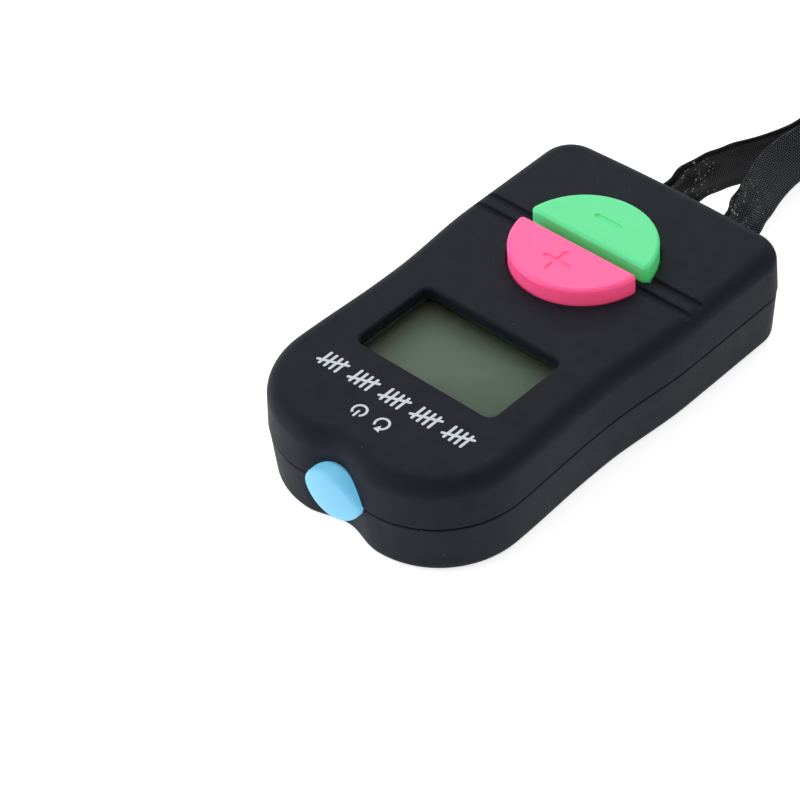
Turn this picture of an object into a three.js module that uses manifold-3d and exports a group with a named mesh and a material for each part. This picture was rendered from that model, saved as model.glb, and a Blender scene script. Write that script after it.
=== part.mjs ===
// Hand tally counter with two count buttons, a reset button, a liquid crystal display and a neck lanyard.
// Millimetres. X is the width, +Y points to the lanyard end, +Z is up; the counter lies on its back.
import * as THREE from 'three';
import { mergeVertices } from 'three/addons/utils/BufferGeometryUtils.js';
import Module from 'manifold-3d';

const wasm = await Module();
wasm.setup();

// ---------- driving sizes of the case ----------
const caseLength = 60;
const halfLength = caseLength / 2;
const topZ = 13.4;
const partingZ = 7.0;
const wall = 1.6;
const roof = 1.5;
const floor = 1.5;
const gap = 0.1;

// plan outline of the case
const shoulderHalfWidth = 17.5;
const waistHalfWidth = 16.6;
const lobeRadius = 11.6;
const lobeX = 5.4;
const lobeY = lobeRadius - halfLength;
const valleyDepth = 1.15;
const cornerRadius = 4.5;
const endBow = 0.3;

// count buttons
const discY = 12.45;
const discRadius = 8.85;
const barHalfWidth = 0.9;
const buttonTop = 15.5;
const buttonFoot = 10.8;
const symbolOffset = 4.6;
const groovePlaces = [11.8, 14.0];
const grooveDepth = 0.4;

// reset button, seated on the parting line in the valley between the lobes
const resetHalfWidth = 4.4;
const resetHalfHeight = 3.4;
const resetFront = -31.3;
const valleyInside = -halfLength + valleyDepth + wall;
const resetPlungerZ = 5.7;
const resetStemEnd = valleyInside + 2.0;

// display
const displayY = -9.15;
const windowX = 20.0;
const windowY = 11.4;
const windowBevel = 0.65;
const glassX = 24;
const glassY = 15.5;

// circuit board, mounted under the display
const boardBottom = 7.4;
const boardTop = 8.4;

// button cell and its cap
const cellY = -8;
const cellRadius = 5.8;
const cellHeight = 5.4;
const capRadius = 7.35;

// lanyard
const ribbonWidth = 7.5;
const ribbonThickness = 0.6;
const slotX = 4.6;
const ribbonZ = 6.95;

// the reset button stands proud of the case, so the whole counter is moved to keep its middle on the origin
const shiftY = -(resetFront + halfLength) / 2;

// ---------- materials ----------
function plain(color, roughness, metalness = 0) {
  return () => new THREE.MeshStandardMaterial({ color, roughness, metalness });
}
const caseBlack = plain(0x2b2e36, 0.75);
const pink = plain(0xf5468c, 0.4);
const green = plain(0x4fe682, 0.4);
const blue = plain(0x7fd2f5, 0.4);
const whitePlastic = plain(0xe8e8e4, 0.5);
const blackPlastic = plain(0x141416, 0.5);
const displayGrey = plain(0x5d675d, 0.2);
const filmGrey = plain(0x79837a, 0.25);
const silver = plain(0xc8cacc, 0.35, 0.6);
const zebraRubber = plain(0xc9bda8, 0.8);
const boardGreen = plain(0x1f6b3c, 0.5);
const steel = plain(0xb8babd, 0.3, 1);
const brassTone = plain(0xc9a24a, 0.35, 1);
const epoxy = plain(0x0c0c0e, 0.35);
const ceramic = plain(0xb59b77, 0.6);
const ribbonBlack = plain(0x17181b, 0.6);

// ---------- solids ----------
const group = new THREE.Group();
group.name = 'hand_tally_counter';

function add(name, geometry, material) {
  const placed = geometry.clone();
  placed.translate(0, shiftY, 0);
  placed.computeVertexNormals();
  const mesh = new THREE.Mesh(placed, material());
  mesh.name = name;
  group.add(mesh);
}

function toManifold(geometry) {
  const bare = geometry.clone();
  bare.deleteAttribute('normal');
  bare.deleteAttribute('uv');
  const merged = mergeVertices(bare, 1e-4);
  const vertProperties = Float32Array.from(merged.attributes.position.array);
  const triVerts = Uint32Array.from(merged.index.array);
  return new wasm.Manifold(new wasm.Mesh({ numProp: 3, vertProperties, triVerts }));
}

function toGeometry(manifold) {
  const mesh = manifold.getMesh();
  const geometry = new THREE.BufferGeometry();
  geometry.setAttribute('position', new THREE.BufferAttribute(Float32Array.from(mesh.vertProperties), 3));
  geometry.setIndex(Array.from(mesh.triVerts));
  return geometry;
}

// a solid block that fuses some shapes and cuts away others
function fuse(shapes, cuts = []) {
  let body = toManifold(shapes[0]);
  for (const shape of shapes.slice(1)) {
    body = body.add(toManifold(shape));
  }
  for (const cut of cuts) {
    body = body.subtract(toManifold(cut));
  }
  return toGeometry(body);
}

function box(x0, x1, y0, y1, z0, z1) {
  const geometry = new THREE.BoxGeometry(x1 - x0, y1 - y0, z1 - z0);
  geometry.translate((x0 + x1) / 2, (y0 + y1) / 2, (z0 + z1) / 2);
  return geometry;
}

// upright round bar from z0 to z1
function post(x, y, radius, z0, z1, sides = 16) {
  const geometry = new THREE.CylinderGeometry(radius, radius, z1 - z0, sides);
  geometry.rotateX(Math.PI / 2);
  geometry.translate(x, y, (z0 + z1) / 2);
  return geometry;
}

// round bar along Y from y0 to y1
function rod(x, z, radius, y0, y1, sides = 16) {
  const geometry = new THREE.CylinderGeometry(radius, radius, y1 - y0, sides);
  geometry.translate(x, (y0 + y1) / 2, z);
  return geometry;
}

function tube(x, y, outer, inner, z0, z1, sides = 32) {
  return fuse([post(x, y, outer, z0, z1, sides)], [post(x, y, inner, z0 - 1, z1 + 1, sides)]);
}

// outlines are closed, anticlockwise lists of points
function extrudeOutline(points, z0, z1) {
  const options = { depth: z1 - z0, bevelEnabled: false };
  const geometry = new THREE.ExtrudeGeometry(new THREE.Shape(points), options);
  geometry.translate(0, 0, z0);
  return geometry;
}

// closed body through rings of equal length, capped with a fan at each end
function loft(rings) {
  const count = rings[0].length;
  const positions = rings.flat().flatMap((p) => [p.x, p.y, p.z]);
  const index = [];
  for (let k = 0; k < rings.length - 1; k += 1) {
    for (let i = 0; i < count; i += 1) {
      const j = (i + 1) % count;
      const a = k * count + i;
      const b = k * count + j;
      index.push(a, b, b + count, a, b + count, a + count);
    }
  }
  const addCap = (ring, start, flip) => {
    const centre = ring.reduce((sum, p) => sum.add(p), new THREE.Vector3()).divideScalar(count);
    const hub = positions.length / 3;
    positions.push(centre.x, centre.y, centre.z);
    for (let i = 0; i < count; i += 1) {
      const a = start + i;
      const b = start + ((i + 1) % count);
      index.push(...(flip ? [hub, b, a] : [hub, a, b]));
    }
  };
  addCap(rings[0], 0, true);
  addCap(rings.at(-1), (rings.length - 1) * count, false);
  const geometry = new THREE.BufferGeometry();
  geometry.setAttribute('position', new THREE.Float32BufferAttribute(positions, 3));
  geometry.setIndex(index);
  return geometry;
}

function offsetOutline(points, inset) {
  const count = points.length;
  return points.map((p, i) => {
    const before = points[(i + count - 1) % count];
    const after = points[(i + 1) % count];
    const along = after.clone().sub(before).normalize();
    return new THREE.Vector2(p.x - along.y * inset, p.y + along.x * inset);
  });
}

function arcPoints(cx, cy, radius, from, to, steps) {
  const points = [];
  for (let i = 0; i <= steps; i += 1) {
    const angle = from + ((to - from) * i) / steps;
    points.push(new THREE.Vector2(cx + radius * Math.cos(angle), cy + radius * Math.sin(angle)));
  }
  return points;
}

function roundedRectangle(cx, cy, width, depth, radius, steps = 4) {
  const dx = width / 2 - radius;
  const dy = depth / 2 - radius;
  const quarter = Math.PI / 2;
  const corners = [[dx, -dy, -quarter], [dx, dy, 0], [-dx, dy, quarter], [-dx, -dy, 2 * quarter]];
  return corners.flatMap(([x, y, from]) => arcPoints(cx + x, cy + y, radius, from, from + quarter, steps));
}

// ---------- plan outline of the case ----------
function caseHalfWidth(y) {
  const toWaist = THREE.MathUtils.smoothstep(y, lobeY, -5);
  const toShoulder = THREE.MathUtils.smoothstep(y, -3, 11);
  const lobeHalfWidth = lobeX + lobeRadius;
  return lobeHalfWidth + (waistHalfWidth - lobeHalfWidth) * toWaist
    + (shoulderHalfWidth - waistHalfWidth) * toShoulder;
}

function rightHalfOutline() {
  const points = [];
  const valleySteps = 5;
  for (let i = 0; i < valleySteps; i += 1) {
    const x = (lobeX * i) / valleySteps;
    const rise = (valleyDepth * (1 + Math.cos((Math.PI * x) / lobeX))) / 2;
    points.push(new THREE.Vector2(x, rise - halfLength));
  }
  points.push(...arcPoints(lobeX, lobeY, lobeRadius, -Math.PI / 2, 0, 11));
  const cornerY = halfLength - endBow - cornerRadius;
  const sideSteps = 9;
  for (let i = 1; i < sideSteps; i += 1) {
    const y = lobeY + ((cornerY - lobeY) * i) / sideSteps;
    points.push(new THREE.Vector2(caseHalfWidth(y), y));
  }
  const cornerX = shoulderHalfWidth - cornerRadius;
  points.push(...arcPoints(cornerX, cornerY, cornerRadius, 0, Math.PI / 2, 6));
  for (const part of [0.67, 0.33]) {
    points.push(new THREE.Vector2(cornerX * part, halfLength - endBow * part * part));
  }
  points.push(new THREE.Vector2(0, halfLength));
  return points;
}

const rightHalf = rightHalfOutline();
const leftHalf = rightHalf.slice(1, -1).reverse().map((p) => new THREE.Vector2(-p.x, p.y));
const caseOutline = [...rightHalf, ...leftHalf];

function caseRing(inset, z) {
  return offsetOutline(caseOutline, inset).map((p) => new THREE.Vector3(p.x, p.y, z));
}

function caseLoft(levels) {
  return loft(levels.map(([inset, z]) => caseRing(inset, z)));
}

// levels of a quarter-round edge; turned up for the roof, turned down for the floor
function edgeLevels(inset, radius, edgeZ, direction, steps) {
  const levels = [];
  for (let i = 0; i <= steps; i += 1) {
    const angle = ((Math.PI / 2) * i) / steps;
    const drop = radius * (1 - Math.sin(angle));
    levels.push([inset + radius * (1 - Math.cos(angle)), edgeZ - direction * drop]);
  }
  return levels;
}

// ---------- shared places ----------
const caseScrewPlaces = [[-13.0, 24.8], [13.0, 24.8], [-10.4, -22.4], [10.4, -22.4]];
const boardScrewPlaces = [[-11.2, 19.8], [11.2, 19.8], [-11.2, 3.2], [11.2, 3.2]];
const screwClearance = 1.15;

// eye-shaped outline of the reset button in the XZ plane: two arcs that meet in rounded side corners
function eyeOutline(inset) {
  const halfWidth = resetHalfWidth - inset;
  const halfHeight = resetHalfHeight - inset;
  const steps = 28;
  const points = [];
  for (let i = 0; i < steps; i += 1) {
    const angle = (2 * Math.PI * i) / steps;
    const squareness = 1.12;
    const x = halfWidth * Math.sign(Math.cos(angle)) * Math.abs(Math.cos(angle)) ** squareness;
    const z = halfHeight * Math.sin(angle);
    points.push(new THREE.Vector2(x, z));
  }
  return points;
}

// ring of the eye outline at a depth y; its order makes a loft towards -Y face outwards
function eyeRing(inset, y) {
  return eyeOutline(inset).map((p) => new THREE.Vector3(p.x, y, partingZ + p.y));
}

// opening for the reset button, cut through both halves of the case
function resetOpening() {
  const clearance = 0.25;
  const inside = -24;
  return loft([eyeRing(-clearance, inside), eyeRing(-clearance, resetFront - 1)]);
}

function lanyardSlot(side) {
  const halfWidth = 1.2;
  const reach = ribbonWidth / 2 + 0.25;
  const x = side * slotX;
  const inside = halfLength - wall - 1.5;
  return box(x - halfWidth, x + halfWidth, inside, halfLength + 2, ribbonZ - reach, ribbonZ + reach);
}

// ---------- case ----------
function halfDisc(radius, side, clearance, steps = 18) {
  const edge = barHalfWidth - clearance;
  const from = Math.asin(edge / radius);
  const arc = arcPoints(0, discY, radius, from, Math.PI - from, steps);
  return side > 0 ? arc : arc.map((p) => new THREE.Vector2(-p.x, 2 * discY - p.y));
}

// groove with sloping sides that runs right across the top
function grooveCut(y) {
  const reach = shoulderHalfWidth + 1;
  const mouth = 0.62;
  const bed = 0.4;
  const profile = [
    new THREE.Vector2(-mouth, 0.1), new THREE.Vector2(-bed, -grooveDepth),
    new THREE.Vector2(bed, -grooveDepth), new THREE.Vector2(mouth, 0.1),
  ];
  const geometry = extrudeOutline(profile, 0, 2 * reach);
  geometry.rotateX(Math.PI / 2);
  geometry.rotateZ(Math.PI / 2);
  geometry.translate(-reach, y, topZ);
  return geometry;
}

// display opening, straight below and bevelled at the top
function bevelledWindow() {
  const straightTop = topZ - 0.9;
  const outer = roundedRectangle(0, displayY, windowX + 2 * windowBevel, windowY + 2 * windowBevel, 1.6);
  const inner = roundedRectangle(0, displayY, windowX, windowY, 1.1);
  const ring = (points, z) => points.map((p) => new THREE.Vector3(p.x, p.y, z));
  return loft([
    ring(inner, topZ - roof - 1), ring(inner, straightTop), ring(outer, topZ), ring(outer, topZ + 1),
  ]);
}

function upperCase() {
  const filletRadius = 2.2;
  const draft = 0.2;
  const outside = caseLoft([
    [0.12, partingZ + gap / 2], [0, partingZ + 0.2],
    ...edgeLevels(draft, filletRadius, topZ, 1, 5),
  ]);
  const rebate = 0.85;
  const rebateTop = partingZ + 1.1;
  const hollow = caseLoft([
    [rebate, partingZ - 1], [rebate, rebateTop], [wall, rebateTop + 0.4],
    [wall + 0.2, topZ - roof - 0.8], [wall + 1.0, topZ - roof],
  ]);
  const shell = fuse([outside], [hollow]);
  const bossTop = topZ - roof + 0.3;
  const caseBosses = caseScrewPlaces.map(([x, y]) => post(x, y, 2.5, partingZ + gap, bossTop));
  const boardBosses = boardScrewPlaces.map(([x, y]) => post(x, y, 2.0, boardTop + gap, bossTop));
  const screwTip = topZ - roof - 0.4;
  const screwHoles = caseScrewPlaces.map(([x, y]) => post(x, y, screwClearance, partingZ - 1, screwTip));
  const boardHoles = boardScrewPlaces.map(([x, y]) => post(x, y, 0.95, boardTop - 1, screwTip));
  const buttonHoles = [1, -1].map((side) => {
    const outline = halfDisc(discRadius + 0.15, side, 0.15);
    return extrudeOutline(outline, topZ - roof - 1, topZ + 1);
  });
  return fuse([shell, ...caseBosses, ...boardBosses], [
    ...screwHoles, ...boardHoles, ...buttonHoles, bevelledWindow(),
    ...groovePlaces.map(grooveCut),
    resetOpening(), lanyardSlot(-1), lanyardSlot(1),
  ]);
}

function lowerCase() {
  const edgeRadius = 1.3;
  const draft = 0.45;
  const bottomEdge = edgeLevels(draft, edgeRadius, 0, -1, 3).reverse();
  const outside = caseLoft([...bottomEdge, [0.2, partingZ - 0.2], [0.32, partingZ - gap / 2]]);
  const hollow = caseLoft([[wall + 0.8, floor], [wall + 0.2, floor + 0.8], [wall, partingZ + 1]]);
  const shell = fuse([outside], [hollow]);
  const tongueTop = partingZ + 0.85;
  const tongue = fuse(
    [caseLoft([[1.0, partingZ - 1.5], [1.0, tongueTop]])],
    [caseLoft([[wall + 0.05, partingZ - 2], [wall + 0.05, tongueTop + 1]])],
  );
  const screwPosts = caseScrewPlaces.map(([x, y]) => post(x, y, 2.9, floor - 0.3, partingZ - gap));
  const counterbores = caseScrewPlaces.map(([x, y]) => post(x, y, 2.1, -1, 2.6));
  const screwHoles = caseScrewPlaces.map(([x, y]) => post(x, y, screwClearance, -1, partingZ + 1));
  const cellRing = tube(0, cellY, 10.2, 9.2, floor - 0.3, 6.4);
  const fins = [1, 3, 5, 7].map((eighth) => {
    const fin = box(cellRadius + 0.3, 9.6, -0.5, 0.5, 2.75, 6.4);
    fin.rotateZ((eighth * Math.PI) / 4);
    fin.translate(0, cellY, 0);
    return fin;
  });
  const capHole = post(0, cellY, capRadius + 0.15, -1, floor + 0.5, 36);
  const lugNotches = [0, 1].map((half) => {
    const notch = box(capRadius - 1, 8.9, -1.6, 1.6, -1, floor + 0.5);
    notch.rotateZ(Math.PI / 4 + half * Math.PI);
    notch.translate(0, cellY, 0);
    return notch;
  });
  const dustWall = box(-9.5, 9.5, 23.4, 24.4, floor - 0.3, partingZ - 0.3);
  return fuse([shell, tongue, ...screwPosts, cellRing, ...fins, dustWall], [
    ...counterbores, ...screwHoles, capHole, ...lugNotches,
    resetOpening(), lanyardSlot(-1), lanyardSlot(1),
  ]);
}

// ---------- buttons ----------
// half-disc key with a rounded top edge, a retaining flange, a hollow underside and a central foot
function countButton(side) {
  const rounding = 0.4;
  const steps = 3;
  const rings = [];
  const outline = halfDisc(discRadius, side, 0);
  const ringAt = (inset, z) => offsetOutline(outline, inset).map((p) => new THREE.Vector3(p.x, p.y, z));
  rings.push(ringAt(0, buttonFoot + 0.2));
  for (let i = 0; i <= steps; i += 1) {
    const angle = ((Math.PI / 2) * i) / steps;
    rings.push(ringAt(rounding * (1 - Math.cos(angle)), buttonTop - rounding * (1 - Math.sin(angle))));
  }
  const flange = extrudeOutline(halfDisc(discRadius + 0.9, side, 0.2), buttonFoot, topZ - roof - 0.2);
  const hollow = extrudeOutline(halfDisc(discRadius - 1.3, side, -1.2), buttonFoot - 1, buttonTop - 1.3);
  const keyY = discY + side * symbolOffset;
  const foot = post(0, keyY, 1.7, buttonFoot, buttonTop - 1);
  const key = fuse([fuse([loft(rings), flange], [hollow]), foot]);
  const strokes = [strokeCut(keyY, 0)];
  if (side < 0) {
    strokes.push(strokeCut(keyY, Math.PI / 2));
  }
  return fuse([key], strokes);
}

function strokeCut(y, angle) {
  const length = 4.0;
  const thickness = 0.7;
  const depth = 0.3;
  const shape = roundedRectangle(0, 0, length, thickness, thickness / 2 - 0.01, 4);
  const cut = extrudeOutline(shape, buttonTop - depth, buttonTop + 1);
  cut.rotateZ(angle);
  cut.translate(0, y, 0);
  return cut;
}

function resetButton() {
  const faceRounding = 0.9;
  const faceY = resetFront + 0.3;
  const rings = [eyeRing(0, valleyInside - 0.4)];
  for (const part of [0, 1, 2, 3]) {
    const angle = (part * Math.PI) / 6;
    rings.push(eyeRing(faceRounding * (1 - Math.cos(angle)), faceY + faceRounding * (1 - Math.sin(angle))));
  }
  rings.push(eyeRing(1.8, faceY - 0.2));
  rings.push(eyeRing(2.8, resetFront));
  const flangeFront = valleyInside + 0.15;
  const flange = loft([eyeRing(-0.75, flangeFront + 1), eyeRing(-0.75, flangeFront)]);
  const neck = loft([eyeRing(0, flangeFront + 0.5), eyeRing(0, valleyInside - 0.5)]);
  const stem = rod(0, resetPlungerZ, 1.2, flangeFront + 0.5, resetStemEnd);
  return fuse([loft(rings), neck, flange, stem]);
}

// ---------- display ----------
function slab(halfX, y0, y1, z0, z1) {
  return box(-halfX, halfX, y0, y1, z0, z1);
}

const glassFront = topZ - roof - 0.3;
const glassBack = glassFront - 1.6;
const glassY0 = displayY - glassY / 2;
const glassY1 = displayY + glassY / 2;

function displayHolder() {
  const clearance = 0.15;
  const rim = 1.0;
  const outer = slab(glassX / 2 + rim, glassY0 - rim, glassY1 + rim, boardTop + 0.02, glassFront);
  const inner = slab(glassX / 2 + clearance, glassY0 - clearance, glassY1 + clearance, 0, topZ);
  return fuse([outer], [inner]);
}

// ---------- circuit board ----------
function circuitBoard() {
  const half = 13.0;
  const tongueHalf = 6.2;
  const shape = [
    [-tongueHalf, -24.2], [tongueHalf, -24.2], [tongueHalf, -19.2], [half, -19.2], [half, 21.6],
    [-half, 21.6], [-half, -19.2], [-tongueHalf, -19.2],
  ].map(([x, y]) => new THREE.Vector2(x, y));
  const holes = boardScrewPlaces.map(([x, y]) => post(x, y, 1.0, boardBottom - 1, boardTop + 1));
  return fuse([extrudeOutline(shape, boardBottom, boardTop)], holes);
}

// tactile switch under each count button
const switchTop = boardTop + 1.45;
const plungerTop = buttonFoot - 0.03;
const domeBase = boardTop + 0.5;

function switchBody(y) {
  const body = box(-3, 3, y - 3, y + 3, boardTop + 0.02, switchTop);
  return fuse([body], [post(0, y, 1.7, domeBase, switchTop + 1)]);
}

function switchCover(y) {
  const plate = box(-3, 3, y - 3, y + 3, switchTop + 0.02, switchTop + 0.22);
  return fuse([plate], [post(0, y, 1.75, switchTop - 1, switchTop + 1)]);
}

function switchDome(y) {
  const height = 0.5;
  const base = 1.5;
  const skin = 0.12;
  const above = [[base, 0], [base * 0.85, height * 0.45], [base * 0.5, height * 0.85], [0, height]];
  const under = [
    [0, height - skin], [base * 0.45, height * 0.85 - skin],
    [base * 0.78, height * 0.45 - skin * 0.6], [base - skin, 0],
  ];
  const points = [...above, ...under].map(([r, z]) => new THREE.Vector2(r, z));
  points.push(points[0].clone());
  const geometry = new THREE.LatheGeometry(points, 24);
  geometry.rotateX(Math.PI / 2);
  geometry.translate(0, y, domeBase + 0.02);
  return geometry;
}

// domed drop of epoxy over the bare chip, under the board
function chipBlob() {
  const radius = 4;
  const height = 1.2;
  const steps = 5;
  const points = [new THREE.Vector2(0, 0)];
  for (let i = 0; i <= steps; i += 1) {
    const angle = ((Math.PI / 2) * i) / steps;
    points.push(new THREE.Vector2(radius * Math.cos(angle), height * Math.sin(angle)));
  }
  const geometry = new THREE.LatheGeometry(points, 24);
  geometry.rotateX(-Math.PI / 2);
  geometry.translate(0, 9, boardBottom - 0.02);
  return geometry;
}

// ---------- fasteners ----------
function screw(x, y, headZ, headRadius, headHeight, shankRadius, tipZ) {
  const head = post(x, y, headRadius, headZ, headZ + headHeight, 16);
  const shank = post(x, y, shankRadius, headZ + headHeight / 2, tipZ, 10);
  const cross = [0, Math.PI / 2].map((angle) => {
    const bar = box(-headRadius * 0.6, headRadius * 0.6, -0.2, 0.2, -1, headHeight * 0.6);
    bar.rotateZ(angle);
    bar.translate(x, y, headZ);
    return bar;
  });
  return fuse([head, shank], cross);
}

// ---------- power ----------
function batteryCap() {
  const outerZ = 0.1;
  const disc = post(0, cellY, capRadius, outerZ, floor - 0.02, 36);
  const collar = tube(0, cellY, capRadius, cellRadius + 0.35, outerZ + 0.6, 2.45, 36);
  const lugs = [0, 1].map((half) => {
    const lug = box(capRadius - 0.6, 8.6, -1.4, 1.4, floor + 0.12, 2.45);
    lug.rotateZ(half * Math.PI);
    lug.translate(0, cellY, 0);
    return lug;
  });
  const coinSlot = box(-4.5, 4.5, cellY - 0.7, cellY + 0.7, -1, 0.8);
  return fuse([disc, collar, ...lugs], [coinSlot]);
}

const cellBottom = floor + 0.1;

function buttonCell() {
  const rimRadius = cellRadius - 0.9;
  const shoulder = cellHeight - 0.5;
  const outline = [[0, 0], [cellRadius - 0.25, 0], [cellRadius, 0.25], [cellRadius, shoulder - 0.2],
    [cellRadius - 0.2, shoulder], [rimRadius, shoulder], [rimRadius, cellHeight - 0.1],
    [rimRadius - 0.1, cellHeight], [0, cellHeight]];
  const geometry = new THREE.LatheGeometry(outline.map(([r, z]) => new THREE.Vector2(r, z)), 32);
  geometry.rotateX(Math.PI / 2);
  geometry.translate(0, cellY, cellBottom);
  return geometry;
}

function negativeContact() {
  const top = boardBottom - 0.03;
  return box(-3.2, 3.2, cellY - 1.4, cellY + 1.4, cellBottom + cellHeight + 0.04, top);
}

// spring strip that stands beside the cell and folds onto the board
function positiveContact() {
  const inner = cellRadius + 0.08;
  const upright = box(inner, inner + 0.3, cellY - 1.5, cellY + 1.5, 3.0, boardBottom - 0.03);
  const foot = box(inner, inner + 2.6, cellY - 1.5, cellY + 1.5, boardBottom - 0.33, boardBottom - 0.03);
  return fuse([upright, foot]);
}

// ---------- lanyard ----------
// The rest of the ribbon is folded into a hank that lies in line with the counter. Both strands lie side
// by side and wind clockwise, and each half turn is one strand pitch tighter than the last.
const strandPitch = 2.8;
const hankLeft = -3;
const hankRadius = 23.4;
const hankNearY = 69;
const hankFarY = 137;
const hankRight = hankLeft + 2 * hankRadius;
const hankCentreX = hankLeft + hankRadius;
const nearCentreX = hankCentreX + strandPitch;
const nearRadius = hankRadius - strandPitch;
const ribbonFloor = 0.3;
const tieY = 78;
const ribbonMidZ = ribbonFloor + ribbonWidth / 2;

// The ribbon stands on edge. Route points are [x, y, z, lean]; lean tips the upper edge towards +X, in
// degrees. The route leaves the hank, enters one slot, passes behind the middle of the end wall and comes
// out of the other slot.
const ribbonRoute = [
  [hankLeft, hankNearY - 0.3, ribbonMidZ, 0],
  [-2.3, 64, 4.3, 0], [-0.7, 58.5, 4.9, -2], [-0.2, 53.5, 5.4, -5],
  [-1.2, 47.5, 6.2, -8], [-2.7, 42, 6.7, -9], [-3.8, 37, 6.95, -6], [-4.1, 32.5, 6.95, -2],
  [-4.1, 28.6, 6.95, 0], [-3.1, 27.2, 6.95, 0], [0, 26.9, 6.95, 0], [4.1, 27.2, 6.95, 0],
  [5.2, 28.6, 6.95, 0], [5.25, 32.5, 6.95, -8], [5.0, 36.5, 6.9, -16], [4.1, 41, 6.7, -20],
  [3.1, 45.5, 6.3, -17], [2.7, 50, 5.8, -11], [2.65, 54, 5.3, -6], [2.1, 58.9, 4.8, -2],
  [0.5, 64.5, 4.3, 0], [hankLeft + strandPitch, hankNearY - 0.3, ribbonMidZ, 0],
];

// The closed end of the loop bends back inside the hank: an arc off the outer strand, then an arc of the
// opposite hand onto the inner strand.
const bightRadius = 16;
const bightY = 122;
const bightDrop = Math.sqrt((2 * bightRadius) ** 2 - strandPitch ** 2);
const bundleEndY = bightY - bightDrop;

function bightRoute() {
  const strandX = hankLeft + 2 * strandPitch;
  const firstX = strandX + bightRadius;
  const secondX = firstX + strandPitch;
  const meeting = Math.atan2(-bightDrop, strandPitch);
  const trim = 0.37;
  const points = [
    new THREE.Vector2(strandX, bundleEndY + 0.3), new THREE.Vector2(strandX, (bundleEndY + bightY) / 2),
    ...arcPoints(firstX, bightY, bightRadius, Math.PI, meeting, 14),
    ...arcPoints(secondX, bundleEndY, bightRadius, meeting + Math.PI, Math.PI - trim, 4).slice(1),
  ];
  return points.map((p) => [p.x, p.y, ribbonMidZ, 0]);
}

// flat strip swept along a route
function ribbonSweep(route, stepsPerSpan) {
  const centre = new THREE.CatmullRomCurve3(route.map(([x, y, z]) => new THREE.Vector3(x, y, z)));
  const spans = route.length - 1;
  const steps = stepsPerSpan * spans;
  const rings = [];
  for (let i = 0; i <= steps; i += 1) {
    const point = centre.getPoint(i / steps);
    const run = centre.getTangent(i / steps);
    const place = i / stepsPerSpan;
    const span = Math.min(Math.floor(place), spans - 1);
    const lean = THREE.MathUtils.lerp(route[span][3], route[span + 1][3], place - span);
    const level = new THREE.Vector3(run.y, -run.x, 0).normalize();
    const sideways = Math.tan(THREE.MathUtils.degToRad(lean)) * Math.sign(level.x);
    const up = new THREE.Vector3(0, 0, 1).addScaledVector(level, sideways).normalize();
    const across = new THREE.Vector3().crossVectors(run, up).normalize();
    const half = up.multiplyScalar(ribbonWidth / 2);
    const skin = across.multiplyScalar(ribbonThickness / 2);
    rings.push([[1, 1], [-1, 1], [-1, -1], [1, -1]].map(
      ([u, v]) => point.clone().addScaledVector(half, u).addScaledVector(skin, v),
    ));
  }
  return loft(rings);
}

// plain block in the space of the wound strands: a long ring with straight sides
function ribbonHank() {
  const skin = 0.4;
  const quarter = Math.PI / 2;
  const outside = [
    new THREE.Vector2(hankLeft - skin, hankNearY),
    new THREE.Vector2(nearCentreX - nearRadius - skin, hankNearY),
    ...arcPoints(nearCentreX, hankNearY, nearRadius + skin, -2 * quarter, 0, 24),
    ...arcPoints(hankCentreX, hankFarY, hankRadius + skin, 0, 2 * quarter, 24),
  ];
  const innerNear = nearRadius - strandPitch - skin;
  const innerFar = hankRadius - strandPitch - skin;
  const bundleX = nearCentreX - innerNear;
  const inside = [
    ...arcPoints(nearCentreX, hankNearY, innerNear, -2 * quarter, 0, 24),
    ...arcPoints(hankCentreX, hankFarY, innerFar, 0, 2 * quarter, 24),
    new THREE.Vector2(hankLeft + strandPitch + skin, bundleEndY),
    new THREE.Vector2(bundleX, bundleEndY),
  ];
  const high = ribbonFloor + ribbonWidth;
  const block = extrudeOutline(outside, ribbonFloor, high);
  return fuse([block], [extrudeOutline(inside, ribbonFloor - 1, high + 1)]);
}

// flat tie wrapped round one side of the hank
function ribbonTie(x0, x1) {
  const skin = 0.22;
  const slack = 0.45;
  const low = ribbonFloor - 0.04;
  const high = ribbonFloor + ribbonWidth + 0.04;
  const halfWidth = 1.5;
  const left = x0 - slack;
  const right = x1 + slack;
  const band = box(left - skin, right + skin, tieY - halfWidth, tieY + halfWidth, low - skin, high + skin);
  const inside = box(left, right, tieY - halfWidth - 1, tieY + halfWidth + 1, low, high);
  return fuse([band], [inside]);
}

// ---------- assembly ----------
add('upper_case', upperCase(), caseBlack);
add('lower_case', lowerCase(), caseBlack);

for (const [label, side, colour] of [['minus', 1, green], ['plus', -1, pink]]) {
  const y = discY + side * symbolOffset;
  add(`${label}_button`, countButton(side), colour);
  add(`${label}_switch_body`, switchBody(y), blackPlastic);
  add(`${label}_switch_cover`, switchCover(y), steel);
  add(`${label}_switch_plunger`, post(0, y, 1.6, domeBase + 0.56, plungerTop), blackPlastic);
  add(`${label}_switch_dome`, switchDome(y), steel);
}

add('reset_button', resetButton(), blue);
const resetBodyY = resetStemEnd + 0.95;
const resetSwitch = box(-3, 3, resetBodyY, resetBodyY + 3, boardBottom - 3.2, boardBottom - 0.02);
const resetBore = rod(0, resetPlungerZ, 1.3, resetFront, resetBodyY + 1.9);
add('reset_switch_body', fuse([resetSwitch], [resetBore]), blackPlastic);
const resetPlunger = rod(0, resetPlungerZ, 1.2, resetStemEnd + 0.03, resetBodyY + 0.95);
add('reset_switch_plunger', resetPlunger, whitePlastic);

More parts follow.
